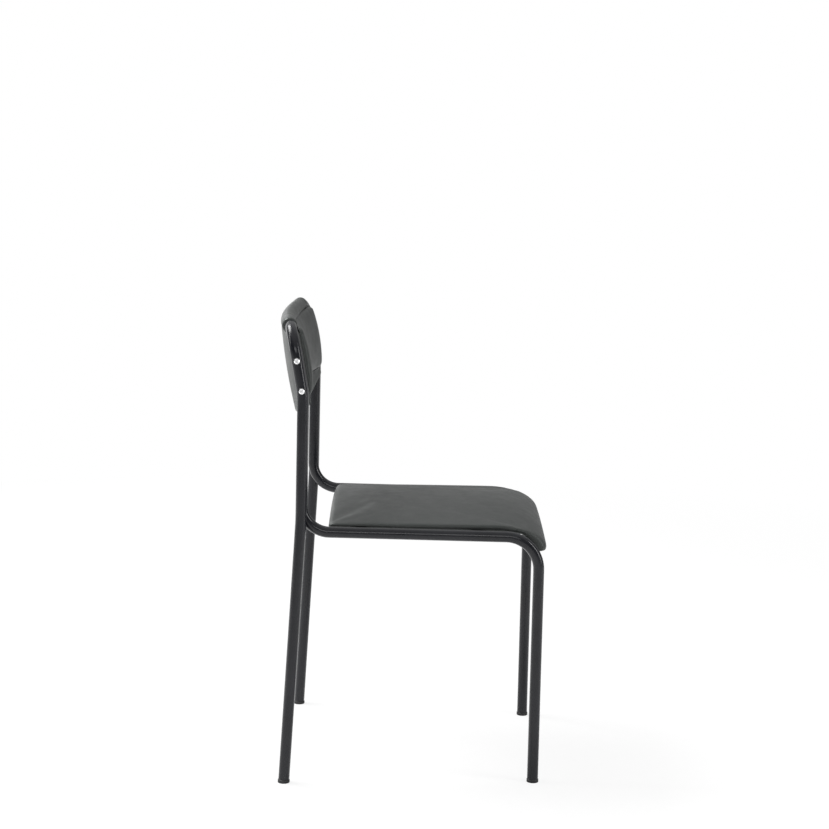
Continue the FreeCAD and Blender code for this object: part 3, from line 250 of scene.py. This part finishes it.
def object_space(nodes, links, stretch=(1, 1, 1)):
    place = nodes.new("ShaderNodeTexCoord")
    mapping = nodes.new("ShaderNodeMapping")
    mapping.inputs["Scale"].default_value = stretch
    links.new(place.outputs["Object"], mapping.inputs["Vector"])
    return mapping.outputs["Vector"]


def noise(nodes, links, space, scale, detail=3.0, roughness=0.5):
    node = add_node(nodes, "ShaderNodeTexNoise", Scale=scale, Detail=detail, Roughness=roughness)
    links.new(space, node.inputs["Vector"])
    return node.outputs["Fac"]


def ramp(nodes, links, factor, low, high, low_colour, high_colour):
    node = nodes.new("ShaderNodeValToRGB")
    node.color_ramp.elements[0].position = low
    node.color_ramp.elements[0].color = (*low_colour, 1)
    node.color_ramp.elements[1].position = high
    node.color_ramp.elements[1].color = (*high_colour, 1)
    links.new(factor, node.inputs["Fac"])
    return node.outputs["Color"]


def map_range(nodes, links, socket, start, end, low, high, smooth=False):
    node = nodes.new("ShaderNodeMapRange")
    if smooth:
        node.interpolation_type = "SMOOTHSTEP"
    node.inputs["From Min"].default_value = start
    node.inputs["From Max"].default_value = end
    node.inputs["To Min"].default_value = low
    node.inputs["To Max"].default_value = high
    links.new(socket, node.inputs["Value"])
    return node.outputs["Result"]


# Usual spread of a noise
NOISE_LOW = 0.3
NOISE_HIGH = 0.7


def remap(nodes, links, factor, low, high):
    """A noise spread over a range of values."""
    return map_range(nodes, links, factor, NOISE_LOW, NOISE_HIGH, low, high)


def add_bumps(nodes, links, shader, layers):
    """Chain of bumps: (height socket, strength, distance in metres)."""
    previous = None
    for height, strength, distance in layers:
        bump = add_node(nodes, "ShaderNodeBump", Strength=strength, Distance=distance)
        links.new(height, bump.inputs["Height"])
        if previous is not None:
            links.new(previous, bump.inputs["Normal"])
        previous = bump.outputs["Normal"]
    links.new(previous, shader.inputs["Normal"])


def powder_coat():
    """Bluish black powder coat with fine orange peel and a slightly uneven tone."""
    material, nodes, links, shader = make_material("powder_coat")
    space = object_space(nodes, links)
    tone = noise(nodes, links, space, 14.0, 5.0, 0.6)
    colour = ramp(nodes, links, tone, 0.35, 0.7, (0.0075, 0.008, 0.0104), (0.0120, 0.0126, 0.0160))
    links.new(colour, shader.inputs["Base Color"])
    sheen = remap(nodes, links, noise(nodes, links, space, 60.0, 4.0), 0.20, 0.26)
    links.new(sheen, shader.inputs["Roughness"])
    shader.inputs["Specular IOR Level"].default_value = 0.34
    peel = noise(nodes, links, space, 620.0, 2.0)
    add_bumps(nodes, links, shader, [
        (peel, 0.05, 0.0001),
        (noise(nodes, links, space, 2600.0, 2.0), 0.04, 0.00003),
    ])
    return material


def black_vinyl():
    """Black upholstery vinyl: pebbled grain, soft waves of the foam below and a slightly uneven sheen."""
    material, nodes, links, shader = make_material("black_vinyl")
    space = object_space(nodes, links)
    broad = noise(nodes, links, space, 9.0, 4.0, 0.55)
    tone = ramp(nodes, links, broad, 0.3, 0.72, (0.019, 0.0203, 0.0197), (0.029, 0.0308, 0.0300))
    links.new(tone, shader.inputs["Base Color"])
    patches = noise(nodes, links, space, 38.0, 5.0, 0.6)
    links.new(remap(nodes, links, patches, 0.42, 0.54), shader.inputs["Roughness"])
    shader.inputs["Specular IOR Level"].default_value = 0.5
    shader.inputs["Specular Tint"].default_value = (0.93, 1.0, 0.97, 1)
    grain = add_node(nodes, "ShaderNodeTexVoronoi", Scale=1150.0, Randomness=0.9)
    grain.feature = "SMOOTH_F1"
    links.new(space, grain.inputs["Vector"])
    add_bumps(nodes, links, shader, [
        (noise(nodes, links, space, 26.0, 3.0), 0.25, 0.0012),
        (grain.outputs["Distance"], 0.35, 0.00018),
        (noise(nodes, links, space, 2400.0, 2.0), 0.15, 0.00006),
    ])
    return material


def moulded_plastic():
    material, nodes, links, shader = make_material("moulded_plastic")
    space = object_space(nodes, links)
    scuffs = noise(nodes, links, space, 180.0, 6.0, 0.7)
    links.new(ramp(nodes, links, scuffs, 0.45, 0.8, (0.006, 0.006, 0.007), (0.022, 0.022, 0.023)),
              shader.inputs["Base Color"])
    links.new(remap(nodes, links, noise(nodes, links, space, 90.0), 0.42, 0.6), shader.inputs["Roughness"])
    add_bumps(nodes, links, shader, [(noise(nodes, links, space, 1800.0, 3.0), 0.2, 0.0001)])
    return material


def bright_zinc():
    material, nodes, links, shader = make_material("bright_zinc")
    space = object_space(nodes, links)
    links.new(ramp(nodes, links, noise(nodes, links, space, 260.0, 4.0), 0.3, 0.7,
                   (0.86, 0.86, 0.87), (0.95, 0.95, 0.96)), shader.inputs["Base Color"])
    shader.inputs["Metallic"].default_value = 0.7
    sheen = remap(nodes, links, noise(nodes, links, space, 900.0, 3.0), 0.2, 0.34)
    links.new(sheen, shader.inputs["Roughness"])
    add_bumps(nodes, links, shader, [(noise(nodes, links, space, 3000.0, 2.0), 0.12, 0.00005)])
    return material


def spunbond_cloth():
    material, nodes, links, shader = make_material("spunbond_cloth")
    space = object_space(nodes, links, (1, 1.6, 1))
    fibres = noise(nodes, links, space, 700.0, 6.0, 0.75)
    links.new(ramp(nodes, links, fibres, 0.35, 0.75, (0.008, 0.008, 0.008), (0.03, 0.03, 0.031)),
              shader.inputs["Base Color"])
    shader.inputs["Roughness"].default_value = 0.92
    add_bumps(nodes, links, shader, [(fibres, 0.5, 0.0003)])
    return material


POWDER = powder_coat()
VINYL = black_vinyl()
PLASTIC = moulded_plastic()
ZINC = bright_zinc()
CLOTH = spunbond_cloth()


def dress(piece, material):
    piece.data.materials.clear()
    piece.data.materials.append(material)


CREASE_ANGLE = math.radians(35)
WELD_DISTANCE = 1e-6


def soften(piece):
    """Smooth shading over a CAD mesh, with its true edges kept."""
    weld = piece.modifiers.new("weld", "WELD")
    weld.merge_threshold = WELD_DISTANCE
    piece.data.polygons.foreach_set("use_smooth", [True] * len(piece.data.polygons))
    split = piece.modifiers.new("edges", "EDGE_SPLIT")
    split.split_angle = CREASE_ANGLE


NODE_FINISHES = {
    "powder_coat": (POWDER, ["back_hoop", "front_frame_left", "front_frame_right",
                             "seat_cross_bar_front", "seat_cross_bar_rear"]),
    "glide_plastic": (PLASTIC, ["foot_glide_front_left", "foot_glide_front_right", "foot_glide_rear_left",
                                "foot_glide_rear_right", "upright_cap_left", "upright_cap_right",
                                "back_screw_saddles"]),
    "zinc_steel": (ZINC, ["seat_screws", "back_screws", "seat_nuts", "back_inserts"]),
    "under_cloth": (CLOTH, ["seat_under_cloth"]),
}
for slot_name, (finish, members) in NODE_FINISHES.items():
    for member in members:
        dress(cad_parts[member], finish)
        soften(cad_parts[member])


# Seat pad

SEAT_HALF = 0.1785
SEAT_REAR = 0.150
SEAT_FRONT = -0.2465
SEAT_UNDER = 0.4572
BOARD_TOP = 0.46635
SEAT_EDGE_TOP = BOARD_TOP + 0.0092
SEAT_CROWN = 0.014
SEAT_CROWN_SHARE = 0.93
SEAT_SIDE_DROP = 0.0025
SEAT_REAR_DROP = 0.0035
SEAT_REAR_RADIUS = 0.0085
SEAT_REAR_SHARPENING = 0.0055
SEAT_REAR_ROUNDING = 0.0060
SEAT_LIP = 0.4255
WATERFALL_START = -0.160
WATERFALL_POWER = 1.95
WATERFALL_STEPS = 22
CURVE_HEIGHT = 0.430
INNER_FRONT = -0.2250
SEAT_DRAW_IN = 0.0015
SEAT_PLAN_CORNER = 0.018
SEAT_PLAN_SHARE = 0.6
SEAT_PLAN_REACH = 0.97
SEAT_FRONT_TRIM = 0.0010
SEAT_FREE_FRONT = -0.235
SEAT_UNDERCUT = 0.008
LIP_RADIUS = 0.004
LIP_INNER_RUN = 0.003
LIP_INNER_RISE = 0.0025
INNER_BEND = 0.0260
UNDERCUT_START = -0.160


def seat_loop(share):
    """Closed outline of the seat at one share of its half width, as (Y, Z) points."""
    side = edge_share(share)
    crown = SEAT_CROWN * (1 - min(1.0, abs(share) / SEAT_CROWN_SHARE) ** 2)
    top = SEAT_EDGE_TOP + crown - SEAT_SIDE_DROP * side ** 2.6 - SEAT_DRAW_IN
    rear_top = top - SEAT_REAR_DROP
    corner = SEAT_REAR_RADIUS - SEAT_REAR_SHARPENING * side
    beyond = max(0.0, abs(share) * SEAT_HALF - (SEAT_HALF - SEAT_PLAN_CORNER))
    reached = min(beyond, SEAT_PLAN_REACH * SEAT_PLAN_CORNER)
    front_inset = SEAT_PLAN_CORNER - math.sqrt(SEAT_PLAN_CORNER ** 2 - reached ** 2)
    front = SEAT_FRONT - SEAT_FRONT_TRIM + SEAT_PLAN_SHARE * front_inset
    inner = INNER_FRONT + SEAT_PLAN_SHARE * front_inset
    rear = SEAT_REAR - SEAT_REAR_ROUNDING * side ** 3 - SEAT_DRAW_IN
    under = SEAT_UNDER + SEAT_UNDERCUT * side ** 2
    points = []
    points += line_points((rear, under), (rear, rear_top - corner), 3)
    points += corner_points((rear, rear_top - corner), (rear - corner, rear_top), (rear, rear_top), 5)
    points += line_points((rear - corner, rear_top), (WATERFALL_START, top), 32)
    for i in range(WATERFALL_STEPS):
        angle = math.pi / 2 * i / WATERFALL_STEPS
        along = math.sin(angle) ** (2 / WATERFALL_POWER)
        height = math.cos(angle) ** (2 / WATERFALL_POWER)
        points.append((WATERFALL_START + (front - WATERFALL_START) * along,
                       CURVE_HEIGHT + (top - CURVE_HEIGHT) * height))
    low_front = SEAT_LIP + LIP_RADIUS
    points += line_points((front, CURVE_HEIGHT), (front, low_front), 1)
    points += corner_points((front, low_front), (front + LIP_RADIUS, SEAT_LIP), (front, SEAT_LIP), 3)
    lip_end = (inner - LIP_INNER_RUN, SEAT_LIP)
    bend_start = (inner, SEAT_LIP + LIP_INNER_RISE)
    bend_end = (inner + INNER_BEND, SEAT_UNDER)
    points += line_points((front + LIP_RADIUS, SEAT_LIP), lip_end, 2)
    points += corner_points(lip_end, bend_start, (inner, SEAT_LIP), 2)
    points += corner_points(bend_start, bend_end, (inner, SEAT_UNDER), 8)
    points += line_points(bend_end, (UNDERCUT_START, under), 6)
    points += line_points((UNDERCUT_START, under), (rear, under), 30)
    return points


def make_seat():
    shares = side_shares()
    half = SEAT_HALF - SEAT_DRAW_IN
    loops = [[(share * half, y, z) for y, z in seat_loop(share)] for share in shares]
    seat = loop_mesh("seat_pad", loops)
    inflate(seat, 2, 0.005, lambda point: point[2] < BOARD_TOP and point[1] > SEAT_FREE_FRONT)
    dress(seat, VINYL)
    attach(seat, "root")
    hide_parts("seat_cover", "seat_foam", "seat_board")


make_seat()


# Backrest

CURVE_RADIUS = 0.625
CURVE_CENTRE = 0.025 - CURVE_RADIUS
BACK_HALF = 0.1839
RIM_FRONT = -0.008
WRAP_REAR = 0.00885
CORNER_X = HOOP_X - HOOP_CORNER_RADIUS
CORNER_Z = TOP_BAR_HEIGHT - HOOP_CORNER_RADIUS
BACK_BOTTOM = -0.056
BACK_BOTTOM_RISE = 0.036
WRAP_GAP = 0.001
WRAP_EDGE_DRAW_IN = 0.0034
# Corner radii (rear bottom, front bottom, front top, rear top), bulges (front, rear), points per run and corner
WRAP_RADII = (0.0075, 0.0045, 0.002, 0.002)
WRAP_BULGES = (0.0003, 0.0022)
WRAP_COUNTS = (3, 22, 4)


def back_curve(x, offset=0.0):
    return CURVE_CENTRE + math.sqrt((CURVE_RADIUS + offset) ** 2 - x ** 2)


def back_low(x):
    return BACK_BOTTOM + BACK_BOTTOM_RISE * (x / BACK_HALF) ** 2


def back_high(x):
    drop = max(abs(x) - CORNER_X, 0.0)
    return CORNER_Z + math.sqrt((HOOP_CORNER_RADIUS - TUBE_RADIUS - WRAP_GAP) ** 2 - drop ** 2)


def rounded_loop(front, rear, low, high, radii, bulges, counts):
    """Closed outline with four round corners and bulged front and rear, as (rearward, upward) points."""
    rear_bottom, front_bottom, front_top, rear_top = radii
    front_bulge, rear_bulge = bulges
    across, up, round_count = counts
    points = []
    points += line_points((rear - rear_bottom, low), (front + front_bottom, low), across)
    points += corner_points((front + front_bottom, low), (front, low + front_bottom), (front, low), round_count)
    points += arc_points((front, low + front_bottom), (front - front_bulge, (low + high) / 2),
                         (front, high - front_top), up)
    points += corner_points((front, high - front_top), (front + front_top, high), (front, high), round_count)
    points += line_points((front + front_top, high), (rear - rear_top, high), across)
    points += corner_points((rear - rear_top, high), (rear, high - rear_top), (rear, high), round_count)
    if rear_bulge > 0:
        points += arc_points((rear, high - rear_top), (rear + rear_bulge, low + (high - low) * 0.3),
                             (rear, low + rear_bottom), up)
    else:
        points += line_points((rear, high - rear_top), (rear, low + rear_bottom), up)
    points += corner_points((rear, low + rear_bottom), (rear - rear_bottom, low), (rear, low), round_count)
    return points


def make_back_wrap():
    """Vinyl over the rear and rim of the back panel."""
    shares = side_shares()
    loops = []
    for share in shares:
        x = share * BACK_HALF
        side = edge_share(share)
        inset = WRAP_EDGE_DRAW_IN * side ** 2.2
        outline = rounded_loop(
            back_curve(x, RIM_FRONT + inset), back_curve(x, WRAP_REAR - inset), back_low(x) + inset, back_high(x),
            WRAP_RADII, WRAP_BULGES, WRAP_COUNTS)
        loops.append([back_point(x, y, z) for y, z in outline])
    wrap = loop_mesh("back_wrap", loops)
    dress(wrap, VINYL)
    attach(wrap, "root")
    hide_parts("back_rear_cover", "back_board", "back_cleat_left", "back_cleat_right")


PAD_HALF = 0.1765
PAD_LOW = -0.005
PAD_HIGH = 0.1175
PAD_CORNER = 0.015
PAD_DEPTH = 0.013
PAD_DRAW_IN = 0.0012
PAD_SIDE_DEPTH = 0.0035
PAD_SIDE_RUN = 0.040
PAD_EDGE_RUN = 0.055
PAD_EDGE_STATIONS = 16
PAD_INNER_STATIONS = 11
PAD_CROWN = 0.0025
PAD_BULGE = 0.0045
PAD_EDGE_RADIUS = 0.0055
PAD_REAR_RADIUS = 0.001
PAD_OVERLAP = 0.002


def make_back_pad():
    """Crowned front pad with rounded corners and sides that fall away softly."""
    half = PAD_HALF - PAD_DRAW_IN
    stations = [half - PAD_EDGE_RUN * i / PAD_EDGE_STATIONS for i in range(PAD_EDGE_STATIONS)]
    stations += [(half - PAD_EDGE_RUN) * (1 - i / PAD_INNER_STATIONS) for i in range(PAD_INNER_STATIONS + 1)]
    stations = [-x for x in stations] + stations[-2::-1]
    loops = []
    for x in stations:
        corner_run = max(0.0, abs(x) - (half - PAD_CORNER))
        rounding = PAD_CORNER - math.sqrt(PAD_CORNER ** 2 - min(corner_run, 0.99 * PAD_CORNER) ** 2)
        side_run = max(0.0, abs(x) - (half - PAD_SIDE_RUN)) / PAD_SIDE_RUN
        full = PAD_DEPTH + PAD_CROWN * (1 - (x / half) ** 2) - PAD_DRAW_IN
        depth = PAD_SIDE_DEPTH + (full - PAD_SIDE_DEPTH) * math.sqrt(max(0.0, 1 - side_run ** 2.4))
        bulge = PAD_BULGE * (depth / full)
        radius = min(PAD_EDGE_RADIUS, 0.8 * depth)
        outline = rounded_loop(
            back_curve(x, RIM_FRONT - depth), back_curve(x, RIM_FRONT + PAD_OVERLAP),
            PAD_LOW + rounding + PAD_DRAW_IN, PAD_HIGH - rounding - PAD_DRAW_IN,
            (PAD_REAR_RADIUS, radius, 1.4 * radius, PAD_REAR_RADIUS), (bulge, 0.0), (2, 18, 4))
        loops.append([back_point(x, y, z) for y, z in outline])
    pad = loop_mesh("back_pad", loops)

    def held(point):
        local = back_local(point)
        return local.y > back_curve(local.x, RIM_FRONT - PAD_OVERLAP)

    inflate(pad, 3, 0.0035, held)
    dress(pad, VINYL)
    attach(pad, "root")
    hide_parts("back_front_cover", "back_foam")


make_back_wrap()
make_back_pad()


# Padded roll round the top bar, and the piping of the front pad

ROLL_RADIUS = 0.0145
ROLL_LOWEST = 0.1212
ROLL_STEP = 0.002
ROLL_SIDES = 40
FRONT_PINCH = 0.15


def fillet(points, radii, step):
    """Points along straight runs with a tangent arc at each inner point."""
    path = [points[0]]
    for i in range(1, len(points) - 1):
        before = (points[i - 1] - points[i]).normalized()
        after = (points[i + 1] - points[i]).normalized()
        half_turn = (math.pi - before.angle(after)) / 2
        radius = radii[i - 1]
        start = points[i] + before * radius * math.tan(half_turn)
        centre = points[i] + (before + after).normalized() * radius / math.cos(half_turn)
        axis = before.cross(after).normalized()
        count = max(4, int(2 * half_turn * radius / step))
        for k in range(count + 1):
            turned = Matrix.Rotation(-2 * half_turn * k / count, 3, axis) @ (start - centre)
            path.append(centre + turned)
    path.append(points[-1])
    return path


def resample(path, step):
    lengths = [0.0]
    for i in range(1, len(path)):
        lengths.append(lengths[-1] + (path[i] - path[i - 1]).length)
    count = int(lengths[-1] / step)
    result = []
    k = 0
    for i in range(count + 1):
        target = lengths[-1] * i / count
        while k < len(path) - 2 and lengths[k + 1] < target:
            k += 1
        share = (target - lengths[k]) / max(lengths[k + 1] - lengths[k], 1e-9)
        result.append(path[k].lerp(path[k + 1], share))
    return result


def roll_path():
    """Centre line of the roll: along the top bar, as far as its corners bend down."""
    corner = [back_point(side * HOOP_X, 0, TOP_BAR_HEIGHT) for side in (-1, 1)]
    below = [back_point(side * HOOP_X, 0, 0.0) for side in (-1, 1)]
    middle = back_point(0, TOP_BAR_SET_BACK, TOP_BAR_HEIGHT)
    whole = fillet([below[0], corner[0], middle, corner[1], below[1]],
                   [HOOP_CORNER_RADIUS, TOP_BAR_RADIUS, HOOP_CORNER_RADIUS], 0.004)
    return [point for point in resample(whole, ROLL_STEP) if back_local(point).z > ROLL_LOWEST]


def make_roll():
    path = roll_path()
    up = BACK_AXES @ Vector((0, 0, 1))
    loops = []
    total = len(path)
    for i, centre in enumerate(path):
        ahead = path[min(i + 1, total - 1)] - path[max(i - 1, 0)]
        along = ahead.normalized()
        rear = BACK_AXES @ Vector((0, 1, 0))
        rear = (rear - along * rear.dot(along)).normalized()
        over = rear.cross(along).normalized()
        if over.dot(up) < 0:
            over = -over
        end = min(i, total - 1 - i) * ROLL_STEP
        close = max(0.0, 1 - end / 0.006)
        pucker = 0.0006 * math.sin(i * 0.9) * max(0.0, 1 - end / 0.05)
        radius = ROLL_RADIUS - 0.0002 - 0.0035 * close ** 2.2 + pucker
        ring = []
        for k in range(ROLL_SIDES):
            angle = 2 * math.pi * k / ROLL_SIDES
            girth = radius * (1 - FRONT_PINCH * max(0.0, -math.cos(angle)))
            ring.append(centre + (rear * math.cos(angle) + over * math.sin(angle)) * girth)
        loops.append(ring)
    roll = loop_mesh("back_roll", loops)
    dress(roll, VINYL)
    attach(roll, "root")
    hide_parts("back_roll_cover", "back_roll_foam")


PIPING_RADIUS = 0.0016
PIPING_STEP = 0.005
PIPING_SIDES = 10
PIPING_SET_FORWARD = 0.0012
PIPING_CORNER_STEPS = 8


def make_piping():
    """Cord sewn round the edge of the front pad."""
    half, low, high = PAD_HALF + 0.0008, PAD_LOW - 0.0016, PAD_HIGH - 0.001
    outline = []
    for corner_x, corner_z, first in ((half, high, 0), (-half, high, 90), (-half, low, 180), (half, low, 270)):
        centre_x = corner_x - math.copysign(PAD_CORNER, corner_x)
        centre_z = corner_z - (PAD_CORNER if corner_z == high else -PAD_CORNER)
        for i in range(PIPING_CORNER_STEPS + 1):
            angle = math.radians(first + 90 * i / PIPING_CORNER_STEPS)
            x = centre_x + PAD_CORNER * math.cos(angle)
            outline.append(Vector((x, 0, centre_z + PAD_CORNER * math.sin(angle))))
    outline.append(outline[0])
    flat = resample(outline, PIPING_STEP)
    path = [back_point(p.x, back_curve(p.x, RIM_FRONT - PIPING_SET_FORWARD), p.z) for p in flat]
    rear = BACK_AXES @ Vector((0, 1, 0))
    loops = []
    for i, centre in enumerate(path):
        ahead = (path[(i + 1) % (len(path) - 1)] - path[i - 1 if i else -2]).normalized()
        across = ahead.cross(rear).normalized()
        over = across.cross(ahead)
        loops.append([centre + (across * math.cos(a) + over * math.sin(a)) * PIPING_RADIUS
                      for a in (2 * math.pi * k / PIPING_SIDES for k in range(PIPING_SIDES))])
    piping = loop_mesh("back_piping", loops, cap_ends=False)
    dress(piping, VINYL)
    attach(piping, "root")


make_roll()
make_piping()


# Studio

FLOOR_HALF = 30.0
# Distance in metres over which the floor fades from its shadowed share of white to full white
SHADOW_REACH = (1.2, 2.6)
FLOOR_WHITE_SHARE = 0.80


def make_floor():
    """Pale floor that keeps a soft shadow under the chair and fades into the white surroundings."""
    corners = [(-FLOOR_HALF, -FLOOR_HALF, 0), (FLOOR_HALF, -FLOOR_HALF, 0),
               (FLOOR_HALF, FLOOR_HALF, 0), (-FLOOR_HALF, FLOOR_HALF, 0)]
    floor = new_object("floor", corners, [(0, 1, 2, 3)], False)
    material = bpy.data.materials.new("pale_floor")
    material.use_nodes = True
    nodes, links = material.node_tree.nodes, material.node_tree.links
    nodes.clear()
    output = nodes.new("ShaderNodeOutputMaterial")
    surface = nodes.new("ShaderNodeBsdfDiffuse")
    space = object_space(nodes, links)
    speckle = noise(nodes, links, space, 40.0, 4.0)
    tone = ramp(nodes, links, speckle, 0.2, 0.8, (0.86, 0.86, 0.86), (0.90, 0.90, 0.90))
    links.new(tone, surface.inputs["Color"])
    glow = nodes.new("ShaderNodeEmission")
    glow.inputs["Strength"].default_value = 1.0
    distance = nodes.new("ShaderNodeVectorMath")
    distance.operation = "LENGTH"
    links.new(space, distance.inputs[0])
    fade = map_range(nodes, links, distance.outputs["Value"], *SHADOW_REACH, FLOOR_WHITE_SHARE, 1.0)
    path = nodes.new("ShaderNodeLightPath")
    share = nodes.new("ShaderNodeMath")
    share.operation = "MULTIPLY"
    links.new(path.outputs["Is Camera Ray"], share.inputs[0])
    links.new(fade, share.inputs[1])
    mix = nodes.new("ShaderNodeMixShader")
    links.new(share.outputs[0], mix.inputs["Fac"])
    links.new(surface.outputs[0], mix.inputs[1])
    links.new(glow.outputs[0], mix.inputs[2])
    links.new(mix.outputs[0], output.inputs["Surface"])
    floor.data.materials.append(material)


# Where each begins and ends as a share of the direction, and its brightness there
WALL = (-0.1, 0.8, 0.03, 0.50)
CEILING = (0.35, 0.95, 0.0, 0.8)


def make_world():
    """White surroundings: a bright wall beyond the chair, a soft ceiling and a dim near side."""
    world = bpy.data.worlds.new("studio")
    bpy.context.scene.world = world
    world.use_nodes = True
    nodes, links = world.node_tree.nodes, world.node_tree.links
    background = nodes["Background"]
    background.inputs["Color"].default_value = (1, 1, 1, 1)
    place = nodes.new("ShaderNodeTexCoord")
    parts = nodes.new("ShaderNodeSeparateXYZ")
    links.new(place.outputs["Generated"], parts.inputs[0])
    wall = map_range(nodes, links, parts.outputs["X"], *WALL, smooth=True)
    ceiling = map_range(nodes, links, parts.outputs["Z"], *CEILING, smooth=True)
    total = nodes.new("ShaderNodeMath")
    links.new(wall, total.inputs[0])
    links.new(ceiling, total.inputs[1])
    path = nodes.new("ShaderNodeLightPath")
    pick = nodes.new("ShaderNodeMix")
    pick.data_type = "FLOAT"
    links.new(path.outputs["Is Camera Ray"], pick.inputs["Factor"])
    links.new(total.outputs[0], pick.inputs["A"])
    pick.inputs["B"].default_value = 1.0
    links.new(pick.outputs["Result"], background.inputs["Strength"])


def add_area(name, location, target, width, height, power):
    lamp = bpy.data.lights.new(name, "AREA")
    lamp.shape = "RECTANGLE"
    lamp.size = width
    lamp.size_y = height
    lamp.energy = power
    holder = bpy.data.objects.new(name, lamp)
    bpy.context.scene.collection.objects.link(holder)
    holder.location = location
    holder.rotation_mode = "QUATERNION"
    holder.rotation_quaternion = (Vector(target) - Vector(location)).to_track_quat("-Z", "Y")


MIDDLE = (0, 0, 0.5)
# Name, place, target, width, height and power of each lamp
LAMPS = [
    ("top_rear", (0.5, 1.5, 2.6), MIDDLE, 1.2, 1.2, 66),
    ("wall_rear", (2.2, 1.4, 1.2), MIDDLE, 2.0, 2.0, 14),
    ("rear_strip", (-0.1, 2.9, 2.1), (-0.1, 0.1, 0.75), 0.4, 2.2, 24),
    ("front_strip", (-0.95, -2.7, 1.45), (-0.2, 0.1, 0.75), 0.6, 2.0, 34),
    ("camera_side", (-3.6, -0.2, 2.0), (0, 0, 0.46), 2.2, 0.9, 28),
]


# Camera: place, pitch, yaw and roll that put the tubes where the photograph has them
CAMERA_PLACE = (-3.6866, -0.0004, 1.2685)
CAMERA_PITCH = math.radians(9.66)
CAMERA_YAW = math.radians(-0.02)
CAMERA_ROLL = math.radians(1.50)
FOCAL_SHARE = 2000.0 / 829.0
SENSOR_WIDTH = 36.0


def make_camera():
    forward = Vector((math.cos(CAMERA_YAW) * math.cos(CAMERA_PITCH),
                      math.sin(CAMERA_YAW) * math.cos(CAMERA_PITCH), -math.sin(CAMERA_PITCH)))
    right = forward.cross(Vector((0, 0, 1))).normalized()
    up = right.cross(forward)
    turned_right = right * math.cos(CAMERA_ROLL) + up * math.sin(CAMERA_ROLL)
    turned_up = up * math.cos(CAMERA_ROLL) - right * math.sin(CAMERA_ROLL)
    data = bpy.data.cameras.new("camera")
    data.sensor_width = SENSOR_WIDTH
    data.lens = SENSOR_WIDTH * FOCAL_SHARE
    camera = bpy.data.objects.new("camera", data)
    bpy.context.scene.collection.objects.link(camera)
    basis = Matrix((turned_right, turned_up, -forward)).transposed()
    camera.matrix_world = Matrix.Translation(CAMERA_PLACE) @ basis.to_4x4()
    bpy.context.scene.camera = camera


make_floor()
make_world()
for lamp in LAMPS:
    add_area(*lamp)
make_camera()
bpy.context.scene.view_settings.view_transform = "Standard"
